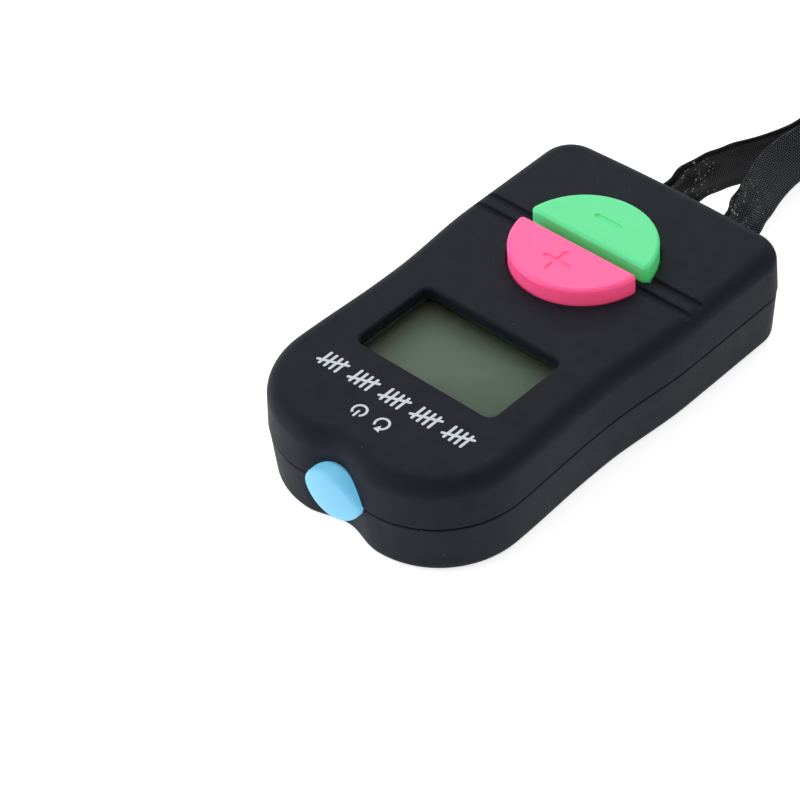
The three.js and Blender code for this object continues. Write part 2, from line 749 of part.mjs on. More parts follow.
add('circuit_board', circuitBoard(), boardGreen);
add('lcd_holder', displayHolder(), whitePlastic);
add('lcd_panel', slab(glassX / 2, glassY0, glassY1, glassBack, glassFront), displayGrey);
const polariserTop = glassFront + 0.2;
add('lcd_polariser', slab(11.4, displayY - 7.2, displayY + 7.2, glassFront + 0.02, polariserTop), filmGrey);
add('lcd_reflector', slab(11.4, glassY0 + 2.6, glassY1 - 0.4, glassBack - 0.2, glassBack - 0.02), silver);
add('zebra_strip', slab(11, glassY0 + 0.3, glassY0 + 2.3, boardTop + 0.02, glassBack - 0.02), zebraRubber);

add('controller_chip', chipBlob(), epoxy);
add('crystal', rod(6.5, boardBottom - 1.15, 1.0, 8, 14), steel);
add('capacitor', box(-8.5, -6.5, 16.5, 17.75, boardBottom - 0.85, boardBottom - 0.02), ceramic);
add('resistor', box(-8.5, -6.5, 13.5, 14.75, boardBottom - 0.55, boardBottom - 0.02), blackPlastic);

add('battery_cap', batteryCap(), caseBlack);
add('button_cell', buttonCell(), steel);
add('negative_contact', negativeContact(), brassTone);
add('positive_contact', positiveContact(), brassTone);

caseScrewPlaces.forEach(([x, y], i) => {
  add(`case_screw_${i + 1}`, screw(x, y, 1.3, 1.9, 1.25, 1.05, 11.2), steel);
});
boardScrewPlaces.forEach(([x, y], i) => {
  add(`board_screw_${i + 1}`, screw(x, y, boardBottom - 1.0, 1.7, 0.95, 0.85, 11.0), steel);
});

add('lanyard_ribbon', ribbonSweep(ribbonRoute, 2), ribbonBlack);
add('lanyard_bight', ribbonSweep(bightRoute(), 1), ribbonBlack);
add('lanyard_hank', ribbonHank(), ribbonBlack);
add('lanyard_tie_1', ribbonTie(hankLeft, hankLeft + 3 * strandPitch), blackPlastic);
add('lanyard_tie_2', ribbonTie(hankRight - strandPitch, hankRight), blackPlastic);

export default group;
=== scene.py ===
"""Looks of a hand tally counter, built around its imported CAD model.

Sizes are in millimetres in the counter's own frame, whose Y origin is the middle of the case, and every
mesh is placed in the row frame in metres by place().
"""
import math

import bmesh
import bpy
from mathutils import Matrix, Vector


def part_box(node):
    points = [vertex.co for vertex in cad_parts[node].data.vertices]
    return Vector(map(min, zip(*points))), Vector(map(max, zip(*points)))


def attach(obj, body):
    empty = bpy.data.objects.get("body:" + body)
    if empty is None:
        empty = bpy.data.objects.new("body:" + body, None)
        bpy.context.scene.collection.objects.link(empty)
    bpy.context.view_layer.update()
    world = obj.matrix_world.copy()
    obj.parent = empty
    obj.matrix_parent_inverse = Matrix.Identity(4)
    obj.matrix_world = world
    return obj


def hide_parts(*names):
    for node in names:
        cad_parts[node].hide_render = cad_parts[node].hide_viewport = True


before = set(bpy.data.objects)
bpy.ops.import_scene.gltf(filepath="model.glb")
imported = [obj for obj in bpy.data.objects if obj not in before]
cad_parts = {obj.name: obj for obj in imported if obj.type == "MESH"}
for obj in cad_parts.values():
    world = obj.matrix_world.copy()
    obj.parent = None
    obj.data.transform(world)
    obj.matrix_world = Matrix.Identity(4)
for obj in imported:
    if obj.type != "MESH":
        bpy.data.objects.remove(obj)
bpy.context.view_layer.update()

MM = 0.001
TURN = 2 * math.pi
CASE_LOW, CASE_HIGH = (Vector(p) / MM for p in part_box("upper_case"))
SHIFT_Y = (CASE_LOW.y + CASE_HIGH.y) / 2
HALF_LENGTH = (CASE_HIGH.y - CASE_LOW.y) / 2
SHOULDER = CASE_HIGH.x
TOP_Z = CASE_HIGH.z
PARTING_Z = 7.0
PARTING_GAP = 0.12
WALL = 1.6
ROOF = 1.5
FLOOR = 1.5

LOBE_RADIUS = 11.6
LOBE_X = 5.4
LOBE_Y = LOBE_RADIUS - HALF_LENGTH
WAIST = 16.6
VALLEY_DEPTH = 1.15
CORNER_RADIUS = 4.5
END_BOW = 0.3

DISC_Y = 12.45
DISC_RADIUS = 8.85
BAR_HALF_WIDTH = 0.72
KEY_TOP = 15.5
KEY_FOOT = 10.8
SYMBOL_OFFSET = 4.6
GROOVES = (11.8, 14.0)

RESET_HALF_WIDTH = 4.14
RESET_HALF_HEIGHT = 3.23
RESET_FRONT = -31.35
RESET_Z = 6.98
RESET_CORNER = 1.6
# how far the key lies off the middle of its opening, towards +X
RESET_PLAY = 0.2
# the surface of the end wall in its valley, along Y of the row frame
RESET_WALL = SHIFT_Y - HALF_LENGTH + VALLEY_DEPTH

DISPLAY_Y = -9.15
WINDOW_X = 20.6
WINDOW_Y = 12.0
WINDOW_BEVEL = 0.35

CELL_Y = -8.0
CAP_RADIUS = 7.35

RIBBON_WIDTH = 7.5
SLOT_X = 4.6
RIBBON_Z = 6.95
# added to the weave's U on the ribbon's outer face, so that its material can tell the two faces apart and
# paint the outer face lighter
RIBBON_OUTSIDE = 40.0

CASE_SCREWS = [(-13.0, 24.8), (13.0, 24.8), (-10.4, -22.4), (10.4, -22.4)]
BOARD_SCREWS = [(-11.2, 19.8), (11.2, 19.8), (-11.2, 3.2), (11.2, 3.2)]


# ---------------------------------------------------------------- mesh helpers

def place(point):
    """A point of the counter's own frame, in mm, as a point of the row frame, in metres."""
    return Vector((point[0], point[1] + SHIFT_Y, point[2])) * MM


def mesh_object(name, points, faces, smooth_angle=38.0):
    """A new object from points in mm, with smooth shading up to an angle."""
    mesh = bpy.data.meshes.new(name)
    mesh.from_pydata([place(p) for p in points], [], faces)
    mesh.validate()
    obj = bpy.data.objects.new(name, mesh)
    bpy.context.scene.collection.objects.link(obj)
    smooth(obj, smooth_angle)
    return obj


def smooth(obj, angle):
    for polygon in obj.data.polygons:
        polygon.use_smooth = True
    obj.data.set_sharp_from_angle(angle=math.radians(angle))


def weigh_normals(obj):
    """Large flat faces keep their flat shading next to rounded edges."""
    modifier = obj.modifiers.new("weighted_normals", "WEIGHTED_NORMAL")
    modifier.keep_sharp = True
    modifier.weight = 60


def loft(rings):
    """Points and faces of a closed body through rings of equal length, with a flat face on each end."""
    count = len(rings[0])
    points = [p for ring in rings for p in ring]
    faces = []
    for k in range(len(rings) - 1):
        for i in range(count):
            j = (i + 1) % count
            faces.append((k * count + i, k * count + j, (k + 1) * count + j, (k + 1) * count + i))
    faces.append(tuple(reversed(range(count))))
    last = (len(rings) - 1) * count
    faces.append(tuple(range(last, last + count)))
    return points, faces


def combine(*bodies):
    """Several point-and-face bodies as one list of points and faces."""
    points, faces = [], []
    for body_points, body_faces in bodies:
        start = len(points)
        points.extend(body_points)
        faces.extend(tuple(i + start for i in face) for face in body_faces)
    return points, faces


def box_body(x0, x1, y0, y1, z0, z1):
    ring = [(x0, y0), (x1, y0), (x1, y1), (x0, y1)]
    return loft([[(x, y, z) for x, y in ring] for z in (z0, z1)])


def circle(x, y, radius, sides=48):
    turn = TURN / sides
    return [(x + radius * math.cos(i * turn), y + radius * math.sin(i * turn)) for i in range(sides)]


def prism(outline, levels):
    """A body with the outline offset inwards by each level's inset at each level's height."""
    return loft([[(x, y, z) for x, y in offset(outline, inset)] for inset, z in levels])


def post_body(x, y, radius, z0, z1, sides=48):
    return prism(circle(x, y, radius, sides), [(0, z0), (0, z1)])


def offset(outline, inset):
    """The anticlockwise outline moved inwards by inset."""
    if inset == 0:
        return list(outline)
    moved = []
    count = len(outline)
    for i, (x, y) in enumerate(outline):
        before = outline[i - 1]
        after = outline[(i + 1) % count]
        dx, dy = after[0] - before[0], after[1] - before[1]
        size = math.hypot(dx, dy)
        moved.append((x - dy / size * inset, y + dx / size * inset))
    return moved


def arc(cx, cy, radius, start, end, steps):
    angles = [start + (end - start) * i / steps for i in range(steps + 1)]
    return [(cx + radius * math.cos(a), cy + radius * math.sin(a)) for a in angles]


def rounded_rectangle(cx, cy, width, depth, radius, steps=8):
    dx, dy = width / 2 - radius, depth / 2 - radius
    quarter = math.pi / 2
    corners = [(dx, -dy, -quarter), (dx, dy, 0), (-dx, dy, quarter), (-dx, -dy, 2 * quarter)]
    return [p for x, y, start in corners for p in arc(cx + x, cy + y, radius, start, start + quarter, steps)]


def apply_modifiers(obj):
    graph = bpy.context.evaluated_depsgraph_get()
    mesh = bpy.data.meshes.new_from_object(obj.evaluated_get(graph))
    old = obj.data
    obj.modifiers.clear()
    obj.data = mesh
    bpy.data.meshes.remove(old)


def boolean(obj, body, operation):
    """Adds or cuts away a body of points and faces."""
    boolean_with(obj, mesh_object("tool", *body), operation)


def boolean_with(obj, tool, operation):
    """Adds or cuts away another object with Blender's exact solver, and removes that object."""
    modifier = obj.modifiers.new("boolean", "BOOLEAN")
    modifier.operation = operation
    modifier.solver = "EXACT"
    modifier.object = tool
    apply_modifiers(obj)
    bpy.data.objects.remove(tool)


def clean(obj):
    """Merges the slivers that cutting leaves."""
    work = bmesh.new()
    work.from_mesh(obj.data)
    bmesh.ops.remove_doubles(work, verts=work.verts, dist=0.002 * MM)
    bmesh.ops.dissolve_degenerate(work, edges=work.edges, dist=0.002 * MM)
    work.to_mesh(obj.data)
    work.free()


# ---------------------------------------------------------------- camera

# direction of sight, worked out from where the case's edges run in the picture
VIEW_AZIMUTH = 46.30
VIEW_ELEVATION = 42.61
VIEW_ROLL = -4.54
CAMERA_DISTANCE = 323.0
SIGHT_POINT = (-4.47, -14.5, 7.0)
FRAME_PIXELS = 800
FOCAL_PIXELS = 2841.0


def make_camera():
    azimuth, elevation = math.radians(VIEW_AZIMUTH), math.radians(VIEW_ELEVATION)
    sight = Vector((
        -math.sin(azimuth) * math.cos(elevation),
        math.cos(azimuth) * math.cos(elevation),
        -math.sin(elevation),
    ))
    data = bpy.data.cameras.new("camera")
    data.sensor_width = 36.0
    data.lens = FOCAL_PIXELS / FRAME_PIXELS * data.sensor_width
    data.clip_start = 0.01
    camera = bpy.data.objects.new("camera", data)
    bpy.context.scene.collection.objects.link(camera)
    turn = sight.to_track_quat("-Z", "Y").to_matrix().to_4x4()
    roll = Matrix.Rotation(math.radians(VIEW_ROLL), 4, "Z")
    camera.matrix_world = Matrix.Translation(place(SIGHT_POINT) - sight * CAMERA_DISTANCE * MM) @ turn @ roll
    bpy.context.scene.camera = camera


make_camera()


# ---------------------------------------------------------------- materials

def new_material(name):
    material = bpy.data.materials.new(name)
    material.use_nodes = True
    nodes = material.node_tree.nodes
    nodes.clear()
    output = nodes.new("ShaderNodeOutputMaterial")
    shader = nodes.new("ShaderNodeBsdfPrincipled")
    material.node_tree.links.new(shader.outputs["BSDF"], output.inputs["Surface"])
    return material, shader


def rgb(hex_colour):
    """A linear colour from a screen colour written as six hexadecimal digits."""
    screen = [int(hex_colour[i:i + 2], 16) / 255 for i in (0, 2, 4)]
    return tuple(c / 12.92 if c <= 0.04045 else ((c + 0.055) / 1.055) ** 2.4 for c in screen) + (1.0,)


def noise(material, per_mm, detail=3.0, roughness=0.5):
    """Noise in the object's own space, with about per_mm features to the millimetre."""
    nodes, links = material.node_tree.nodes, material.node_tree.links
    place_node = nodes.new("ShaderNodeTexCoord")
    texture = nodes.new("ShaderNodeTexNoise")
    texture.inputs["Scale"].default_value = per_mm / MM
    texture.inputs["Detail"].default_value = detail
    texture.inputs["Roughness"].default_value = roughness
    links.new(place_node.outputs["Object"], texture.inputs["Vector"])
    return texture.outputs["Fac"]


def ramp(material, source, stops, socket):
    """Maps a value to colours or greys and feeds the shader's socket."""
    nodes, links = material.node_tree.nodes, material.node_tree.links
    node = nodes.new("ShaderNodeValToRGB")
    elements = node.color_ramp.elements
    while len(elements) < len(stops):
        elements.new(0.5)
    for element, (position, colour) in zip(elements, stops):
        element.position = position
        element.color = colour
    links.new(source, node.inputs["Fac"])
    links.new(node.outputs["Color"], socket)
    return node


def grey(value):
    return (value, value, value, 1.0)


def scaled(colour, factor):
    return tuple(min(1.0, c * factor) for c in colour[:3]) + (1.0,)


def bump(material, shader, height, strength, distance_mm):
    nodes, links = material.node_tree.nodes, material.node_tree.links
    node = nodes.new("ShaderNodeBump")
    node.inputs["Strength"].default_value = strength
    node.inputs["Distance"].default_value = distance_mm * MM
    links.new(height, node.inputs["Height"])
    links.new(node.outputs["Normal"], shader.inputs["Normal"])
    return node


def plastic(name, colour, roughness, grain_per_mm=6.0, grain=0.25, variation=0.06, coat=0.0):
    """Moulded plastic: faint colour drift, uneven gloss and a fine grain."""
    material, shader = new_material(name)
    base = rgb(colour)
    drift = noise(material, 0.12)
    ramp(material, drift, [(0.3, scaled(base, 1 - variation)), (0.7, scaled(base, 1 + variation))],
         shader.inputs["Base Color"])
    gloss = noise(material, 0.6)
    ramp(material, gloss, [(0.3, grey(roughness - 0.04)), (0.7, grey(roughness + 0.04))],
         shader.inputs["Roughness"])
    bump(material, shader, noise(material, grain_per_mm, 2.0), grain, 0.02)
    shader.inputs["Coat Weight"].default_value = coat
    shader.inputs["Coat Roughness"].default_value = 0.25
    return material


def plastic_with_painted_glow(name, colour, roughness, glow, axis, inside_mm, outside_mm):
    """Day-glow plastic: light spreads inside it, and a painted glow (emission) adds a little light of its own
    in the open, faded out as painted shade where the key goes into the case.
    """
    material = plastic(name, colour, roughness, variation=0.02)
    shader = next(n for n in material.node_tree.nodes if n.type == "BSDF_PRINCIPLED")
    shader.inputs["Subsurface Weight"].default_value = 0.6
    shader.inputs["Subsurface Radius"].default_value = rgb(colour)[:3]
    shader.inputs["Subsurface Scale"].default_value = 1.2 * MM
    # painted glow: emission in the plastic's own colour, though the key is no lamp; its strength fades to
    # none as painted shade inside the case
    shader.inputs["Emission Color"].default_value = (*glow, 1.0)
    fade = position_fade(material, axis, inside_mm, outside_mm)
    material.node_tree.links.new(fade, shader.inputs["Emission Strength"])
    return material


def position_fade(material, axis, zero_mm, one_mm):
    """A smooth rise from 0 to 1 between two positions along one axis of an object."""
    nodes, links = material.node_tree.nodes, material.node_tree.links
    where = nodes.new("ShaderNodeTexCoord")
    parts = nodes.new("ShaderNodeSeparateXYZ")
    links.new(where.outputs["Object"], parts.inputs["Vector"])
    return map_range(material, parts.outputs[axis], (zero_mm * MM, one_mm * MM), (0.0, 1.0), "SMOOTHSTEP")


def metal(name, colour, roughness, brush_per_mm=9.0):
    material, shader = new_material(name)
    base = rgb(colour)
    shader.inputs["Metallic"].default_value = 1.0
    ramp(material, noise(material, 0.5), [(0.3, scaled(base, 0.88)), (0.7, scaled(base, 1.05))],
         shader.inputs["Base Color"])
    ramp(material, noise(material, 1.5), [(0.3, grey(roughness - 0.06)), (0.7, grey(roughness + 0.1))],
         shader.inputs["Roughness"])
    bump(material, shader, noise(material, brush_per_mm, 1.0), 0.15, 0.01)
    return material


def soft_touch():
    """Rubber-feel coating on the case: matte, blue-black, with a few specks of dust."""
    material, shader = new_material("soft_touch_black")
    nodes, links = material.node_tree.nodes, material.node_tree.links
    base = rgb("191d26")
    drift = ramp(material, noise(material, 0.08), [(0.3, scaled(base, 0.94)), (0.7, scaled(base, 1.06))],
                 shader.inputs["Base Color"])
    where = nodes.new("ShaderNodeTexCoord")
    dust = multiply(material, specks(material, where.outputs["Object"], 0.3 / MM, 0.045), 0.08)
    dusty = blend_colour(material, dust, drift.outputs["Color"], rgb("a8adb4"))
    links.new(dusty, shader.inputs["Base Color"])
    ramp(material, noise(material, 0.5), [(0.3, grey(0.58)), (0.7, grey(0.66))], shader.inputs["Roughness"])
    bump(material, shader, noise(material, 7.0, 2.0), 0.3, 0.012)
    shader.inputs["Specular IOR Level"].default_value = 0.12
    shader.inputs["Sheen Weight"].default_value = 0.02
    shader.inputs["Sheen Roughness"].default_value = 0.45
    return material


def clear_film(name, tint, gloss_roughness):
    """A see-through layer of the display: straight-through light, tinted, under a faint gloss."""
    material, shader = new_material(name)
    nodes, links = material.node_tree.nodes, material.node_tree.links
    output = next(n for n in nodes if n.type == "OUTPUT_MATERIAL")
    nodes.remove(shader)
    through = nodes.new("ShaderNodeBsdfTransparent")
    gloss = nodes.new("ShaderNodeBsdfGlossy")
    edge = nodes.new("ShaderNodeFresnel")
    edge.inputs["IOR"].default_value = 1.35
    ramp(material, noise(material, 0.3), [(0.3, scaled(rgb(tint), 0.98)), (0.7, rgb(tint))],
         through.inputs["Color"])
    gloss.inputs["Roughness"].default_value = gloss_roughness
    mix = nodes.new("ShaderNodeMixShader")
    links.new(multiply(material, edge.outputs["Fac"], 0.035), mix.inputs["Fac"])
    links.new(through.outputs["BSDF"], mix.inputs[1])
    links.new(gloss.outputs["BSDF"], mix.inputs[2])
    links.new(mix.outputs["Shader"], output.inputs["Surface"])
    return material


def stripes(material, where, direction, scale, distortion):
    """Wavy bands over a texture space, along one of its axes or its diagonal."""
    wave = material.node_tree.nodes.new("ShaderNodeTexWave")
    wave.bands_direction = direction
    wave.inputs["Scale"].default_value = scale
    wave.inputs["Distortion"].default_value = distortion
    wave.inputs["Detail"].default_value = 1.0
    material.node_tree.links.new(where, wave.inputs["Vector"])
    return wave.outputs["Fac"]


def map_range(material, value, source, target, interpolation="LINEAR"):
    """A value rescaled from one range of numbers to another, and held at its ends."""
    node = material.node_tree.nodes.new("ShaderNodeMapRange")
    node.interpolation_type = interpolation
    node.inputs["From Min"].default_value, node.inputs["From Max"].default_value = source
    node.inputs["To Min"].default_value, node.inputs["To Max"].default_value = target
    material.node_tree.links.new(value, node.inputs["Value"])
    return node.outputs["Result"]


def specks(material, where, scale, radius):
    """A mask of small round specks, one to each cell of a random pattern, with soft edges."""
    nodes, links = material.node_tree.nodes, material.node_tree.links
    cells = nodes.new("ShaderNodeTexVoronoi")
    cells.inputs["Scale"].default_value = scale
    links.new(where, cells.inputs["Vector"])
    return map_range(material, cells.outputs["Distance"], (radius * 0.5, radius), (1.0, 0.0))


def multiply(material, a, b):
    node = material.node_tree.nodes.new("ShaderNodeMath")
    node.operation = "MULTIPLY"
    for socket, value in zip(node.inputs, (a, b)):
        if isinstance(value, float):
            socket.default_value = value
        else:
            material.node_tree.links.new(value, socket)
    return node.outputs["Value"]


def blend_colour(material, factor, below, above):
    """Mixes the colour above over the colour socket below by a factor."""
    nodes, links = material.node_tree.nodes, material.node_tree.links
    mix = nodes.new("ShaderNodeMix")
    mix.data_type = "RGBA"
    sockets = [s for s in mix.inputs if s.type == "RGBA"]
    links.new(factor, mix.inputs["Factor"])
    links.new(below, sockets[0])
    sockets[1].default_value = above
    return next(s for s in mix.outputs if s.type == "RGBA")


def ribbon_weave(name, colour):
    """Black satin ribbon: diagonal floats crossed by ribs, with painted light: the outer face painted
    lighter, painted shade near the slots, and painted glints (bright points) there.
    """
    material, shader = new_material(name)
    nodes, links = material.node_tree.nodes, material.node_tree.links
    where = nodes.new("ShaderNodeUVMap")
    where.uv_map = "weave"
    floats = stripes(material, where.outputs["UV"], "DIAGONAL", 1.5, 0.6)
    ribs = stripes(material, where.outputs["UV"], "Y", 0.85, 0.4)
    cloth = multiply(material, floats, ribs)
    parts = nodes.new("ShaderNodeSeparateXYZ")
    links.new(where.outputs["UV"], parts.inputs["Vector"])
    # painted light: the outer face is painted lighter than the inner one
    between = (RIBBON_OUTSIDE * 0.25, RIBBON_OUTSIDE * 0.75)
    outside = map_range(material, parts.outputs["X"], between, (0.27, 1.0))
    # painted shade: the ribbon is painted darker near the slots
    loose = map_range(material, parts.outputs["Y"], (3.0, 15.0), (0.15, 1.0))
    shade = multiply(material, cloth, multiply(material, outside, loose))
    base = rgb(colour)
    # the brightest stop is painted light on the outer face
    stops = [(0.0, scaled(base, 0.5)), (0.2, scaled(base, 2.0)), (0.75, rgb("6a6c76"))]
    satin = ramp(material, shade, stops, shader.inputs["Base Color"])
    # painted glints: bright points painted into the colour near the slots, as highlights
    gathered = map_range(material, parts.outputs["Y"], (4.0, 15.0), (1.0, 0.0))
    patches = map_range(material, noise(material, 0.3), (0.47, 0.55), (0.0, 1.0))
    glints = multiply(material, gathered, patches)
    glints = multiply(material, glints, specks(material, where.outputs["UV"], 1.7, 0.3))
    with_painted_glints = blend_colour(material, glints, satin.outputs["Color"], grey(0.9))
    links.new(with_painted_glints, shader.inputs["Base Color"])
    ramp(material, cloth, [(0.0, grey(0.66)), (1.0, grey(0.42))], shader.inputs["Roughness"])
    bump(material, shader, cloth, 0.8, 0.1)
    shader.inputs["Specular IOR Level"].default_value = 0.14
    shader.inputs["Sheen Weight"].default_value = 0.015
    shader.inputs["Sheen Roughness"].default_value = 0.35
    return material


def reflector_with_painted_shade():
    """Grey-green foil behind the glass, with painted shade: darker and browner towards the far and left edges
    of the window, standing in for the shadow of the window's walls.
    """
    material, shader = new_material("reflector_painted_shade")
    links = material.node_tree.links
    far, left = -0.9, -11.9
    # painted shade: the foil's colour darkens and browns towards the far and left edges of the window
    lit = multiply(material, position_fade(material, "Y", far, far - 3.8),
                   position_fade(material, "X", left, left + 4.2))
    foil = ramp(material, lit, [(0.0, rgb("686254")), (0.3, rgb("85877c")), (1.0, rgb("a0a5b0"))],
                shader.inputs["Base Color"])
    grain = multiply(material, noise(material, 9.0, 2.0), 0.35)
    grained = blend_colour(material, grain, foil.outputs["Color"], rgb("969aa2"))
    links.new(grained, shader.inputs["Base Color"])
    ramp(material, noise(material, 1.0), [(0.3, grey(0.6)), (0.7, grey(0.7))], shader.inputs["Roughness"])
    shader.inputs["Specular IOR Level"].default_value = 0.1
    return material


SOFT_TOUCH = soft_touch()
# the painted glow fades over these heights above the case, and over these places along Y in the reset key's
# opening: painted shade where the keys go into the case
KEY_TOP_GLOW_PAINTED_SHADE = ("Z", TOP_Z - 0.8, TOP_Z + 0.2)
RESET_GLOW_PAINTED_SHADE = ("Y", RESET_WALL + 0.25, RESET_WALL - 0.35)
PINK = plastic_with_painted_glow("key_pink_plastic", "ff59a6", 0.42, (0.30, 0.025, 0.03), *KEY_TOP_GLOW_PAINTED_SHADE)
GREEN = plastic_with_painted_glow("key_green_plastic", "52db9f", 0.42, (0.03, 0.17, 0.015), *KEY_TOP_GLOW_PAINTED_SHADE)
BLUE = plastic_with_painted_glow("key_blue_plastic", "63889b", 0.5, (0.08, 0.36, 0.55), *RESET_GLOW_PAINTED_SHADE)
PRINT = plastic("white_print", "d8dfe6", 0.55, grain_per_mm=10, grain=0.2, variation=0.03)
WHITE_PLASTIC = plastic("white_abs", "dcdcd6", 0.5)
BLACK_PLASTIC = plastic("black_plastic", "17181a", 0.45)
BOARD = plastic("solder_mask", "1d6a3a", 0.4, grain_per_mm=3.0, coat=0.4)
EPOXY = plastic("epoxy_drop", "0b0b0d", 0.25, grain_per_mm=1.5, coat=0.6)
CERAMIC = plastic("ceramic_chip", "b59b77", 0.6)
ZEBRA = plastic("zebra_rubber", "c4b8a2", 0.75, grain_per_mm=4.0, grain=0.6)
STEEL = metal("plated_steel", "b9bcc0", 0.28)
CELL_STEEL = metal("cell_steel", "c9cbce", 0.18)
BRASS = metal("contact_strip", "c9a24a", 0.3)
GLASS = clear_film("display_glass", "f6faf4", 0.4)
FILM = clear_film("display_film", "eef2ec", 0.5)
SATIN = ribbon_weave("ribbon_satin", "0c0e14")
REFLECTOR_PAINTED_SHADE = reflector_with_painted_shade()


def paint(obj, material):
    obj.data.materials.clear()
    obj.data.materials.append(material)


def paint_node(name, material):
    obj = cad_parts[name]
    if not obj.material_slots:
        obj.data.materials.append(material)
    for material_slot in obj.material_slots:
        material_slot.material = material


# ---------------------------------------------------------------- neck ribbon

# The unseen length is folded into a hank in line with the counter. Both strands lie side by side and wind
# clockwise, and each half turn is one strand pitch tighter than the last.
STRAND_PITCH = 2.8
HANK_LEFT = -3.0
HANK_RADIUS = 23.4
HANK_NEAR_Y = 69.0
HANK_FAR_Y = 137.0
HANK_CENTRE_X = HANK_LEFT + HANK_RADIUS
NEAR_CENTRE_X = HANK_CENTRE_X + STRAND_PITCH
NEAR_RADIUS = HANK_RADIUS - STRAND_PITCH
RIBBON_FLOOR = 0.3
HANK_Z = RIBBON_FLOOR + RIBBON_WIDTH / 2
TIE_Y = 78.0

BIGHT_RADIUS = 16.0
BIGHT_Y = 122.0
BIGHT_DROP = math.sqrt((2 * BIGHT_RADIUS) ** 2 - STRAND_PITCH ** 2)

# points x, y, z in mm and the lean of the upper edge towards +X in degrees, from the hank to the slot
FAR_STRAND = [
    (HANK_LEFT, HANK_NEAR_Y - 0.3, HANK_Z, 0), (-2.3, 64, 4.2, 0), (-0.7, 58.5, 4.6, 1), (-0.2, 53.5, 5.0, 5),
    (-1.2, 47.5, 5.9, 9), (-2.7, 42, 6.8, 8), (-3.6, 37, 7.2, 3), (-3.9, 32.5, 6.9, 0),
    (-4.1, 28.6, 6.95, 0),
]
NEAR_STRAND = [
    (5.2, 28.6, 6.95, 0), (5.5, 32.5, 6.8, -8), (5.1, 36.5, 7.0, -16), (3.8, 41, 6.9, -20),
    (2.7, 45.5, 6.6, -17), (2.2, 50, 6.1, -11), (2.2, 54, 5.5, -6), (1.9, 58.9, 4.9, -2),
    (0.5, 64.5, 4.3, 0), (HANK_LEFT + STRAND_PITCH, HANK_NEAR_Y - 0.3, HANK_Z, 0),
]
WRAP = [(-3.1, 27.2, 6.95, 0), (0, 26.9, 6.95, 0), (4.1, 27.2, 6.95, 0)]


def run(x, y0, y1, steps=6):
    """Points of a straight side of the hank, without its last one."""
    return [(x, y0 + (y1 - y0) * i / steps) for i in range(steps)]


def turns(inset, second_run_end):
    """One strand from the hank's left side: round the far end, round the near end, up the left side again."""
    points = run(HANK_LEFT + inset, HANK_NEAR_Y, HANK_FAR_Y)
    points += arc(HANK_CENTRE_X, HANK_FAR_Y, HANK_RADIUS - inset, math.pi, 0, 16)[:-1]
    points += run(HANK_LEFT + 2 * HANK_RADIUS - inset, HANK_FAR_Y, HANK_NEAR_Y)
    points += arc(NEAR_CENTRE_X, HANK_NEAR_Y, NEAR_RADIUS - inset, 0, -math.pi, 16)[:-1]
    return points + run(NEAR_CENTRE_X - NEAR_RADIUS + inset, HANK_NEAR_Y, second_run_end, 5)


def bight():
    """The closed end of the loop: an arc off the outer strand, then one of the other hand onto the inner."""
    first_x = HANK_LEFT + 2 * STRAND_PITCH + BIGHT_RADIUS
    meeting = math.atan2(-BIGHT_DROP, STRAND_PITCH)
    first = arc(first_x, BIGHT_Y, BIGHT_RADIUS, math.pi, meeting, 24)
    second = arc(first_x + STRAND_PITCH, BIGHT_Y - BIGHT_DROP, BIGHT_RADIUS, meeting + math.pi, math.pi, 10)
    return first + second[1:]


def hermite(route, spacing):
    """A smooth curve through the route's points, resampled about every spacing mm."""
    points = [Vector(p) for p in route]
    chords = [(Vector(b[:3]) - Vector(a[:3])).length for a, b in zip(points, points[1:])]
    slopes = []
    for i in range(len(points)):
        if i == 0:
            slopes.append((points[1] - points[0]) / chords[0])
        elif i == len(points) - 1:
            slopes.append((points[-1] - points[-2]) / chords[-1])
        else:
            before = (points[i] - points[i - 1]) / chords[i - 1]
            after = (points[i + 1] - points[i]) / chords[i]
            weight = chords[i] / (chords[i - 1] + chords[i])
            slopes.append(before * weight + after * (1 - weight))
    curve = []
    for i, chord in enumerate(chords):
        steps = max(1, round(chord / spacing))
        for k in range(steps):
            t = k / steps
            curve.append(
                points[i] * (2 * t ** 3 - 3 * t ** 2 + 1)
                + points[i + 1] * (3 * t ** 2 - 2 * t ** 3)
                + slopes[i] * chord * (t ** 3 - 2 * t ** 2 + t)
                + slopes[i + 1] * chord * (t ** 3 - t ** 2)
            )
    return curve + [points[-1]]


def ribbon_route():
    """From the middle of the wrap, out of the far slot, round the hank and back in at the near slot."""
    wound = turns(0, BIGHT_Y) + bight() + turns(STRAND_PITCH, BIGHT_Y - BIGHT_DROP)[::-1]
    free = FAR_STRAND[::-1] + [(x, y, HANK_Z, 0) for x, y in wound] + NEAR_STRAND[::-1]
    return WRAP[1::-1], free, WRAP[:0:-1]


def ribbon_section():
    """Points of the ribbon's cross-section as (along the width, along the thickness), selvedges thicker."""
    half = RIBBON_WIDTH / 2
    side = [(-half, 0.12), (-half + 0.12, 0.27), (-half + 0.5, 0.27), (-half + 0.75, 0.2)]
    across = [-2.2, -1.1, 0.0, 1.1, 2.2]
    top = side + [(u, 0.2) for u in across] + [(-u, v) for u, v in reversed(side)]
    return top + [(u, -v) for u, v in reversed(top)]


def crease(distance, across, seed):
    """Small soft wrinkles, in mm, strongest where the ribbon leaves the case and is gathered by the slot."""
    near_slot = math.exp(-((distance - 5.0) / 8.0) ** 2)
    pleats = math.cos(across * 1.9 + seed + distance * 0.12) * math.exp(-(distance / 10.0) ** 2)
    ripple = math.sin(distance * 1.15 + across * 0.8 + seed) * math.sin(distance * 0.47 - across * 0.5)
    slow = math.sin(distance * 0.21 + seed * 1.7) * (0.6 + 0.1 * across)
    return 0.38 * pleats + 0.3 * near_slot * ripple + 0.16 * slow * (0.3 + near_slot)


